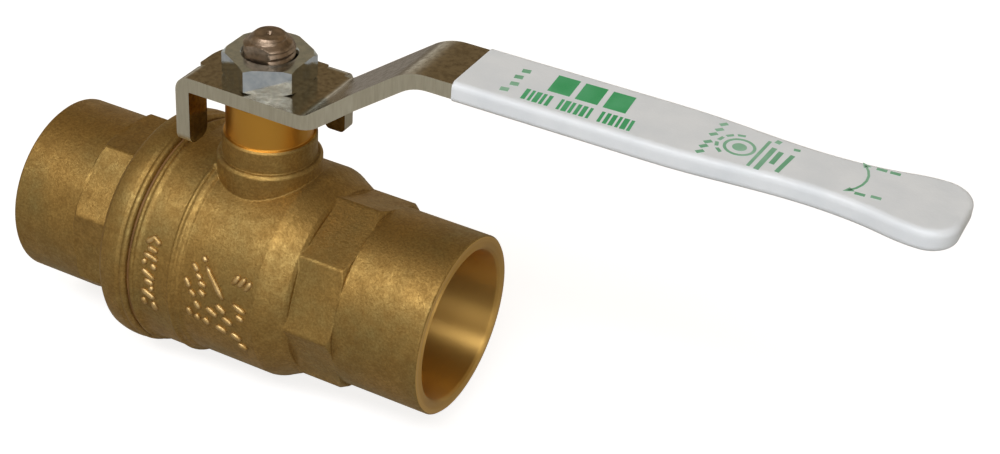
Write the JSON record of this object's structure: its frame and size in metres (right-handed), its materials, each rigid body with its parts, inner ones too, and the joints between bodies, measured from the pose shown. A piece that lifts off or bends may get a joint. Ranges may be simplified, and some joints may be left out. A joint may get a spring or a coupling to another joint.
{
  "type": "ball valve",
  "caption": "Quarter-turn brass ball valve with solder-cup ends, octagonal wrench sections and a cranked lever with a soft sleeve.",
  "frame": {"origin": "centre of the ball, where the pipe's axis crosses the stem's axis", "axes": "+X along the pipe's axis towards the outlet cup, which is also where the open lever points; +Z along the stem towards the lever"},
  "size_m": [0.1688, 0.0454, 0.0765],
  "materials": {
    "forged_brass": "forged and tumbled",
    "machined_brass": "turned",
    "plated_ball": "hard chrome on brass",
    "ptfe": "turned PTFE",
    "seal_rubber": "moulded fluoroelastomer",
    "stem_brass": "turned, dull",
    "lever_steel": "nickel plated",
    "nut_steel": "bright zinc plated",
    "grip_vinyl": "dipped vinyl"
  },
  "bodies": {
    "housing": {"body": "forged_brass", "end_adapter": "forged_brass", "joint_seal": "ptfe", "seat_inlet": "ptfe", "seat_outlet": "ptfe", "thrust_washer": "ptfe", "packing_ring_lower": "ptfe", "packing_ring_middle": "ptfe", "packing_ring_upper": "ptfe", "gland_follower": "machined_brass", "packing_nut": "machined_brass"},
    "handle": {"lever": "lever_steel", "lever_grip": "grip_vinyl", "handle_nut": "nut_steel", "stem": "stem_brass", "stem_o_ring": "seal_rubber"},
    "ball": {"ball": "plated_ball"}
  },
  "joints": [
    {"name": "handle_turn", "type": "hinge", "parent": "housing", "child": "handle", "pos_m": [0, 0, 0], "axis": [0, 0, 1], "range_deg": [-90, 0]},
    {"name": "ball_turn", "type": "hinge", "parent": "housing", "child": "ball", "pos_m": [0, 0, 0], "axis": [0, 0, 1], "range_deg": [-90, 0]}
  ],
  "couplings": [
    {"joint": "ball_turn", "follows": "handle_turn", "ratio": 1}
  ]
}
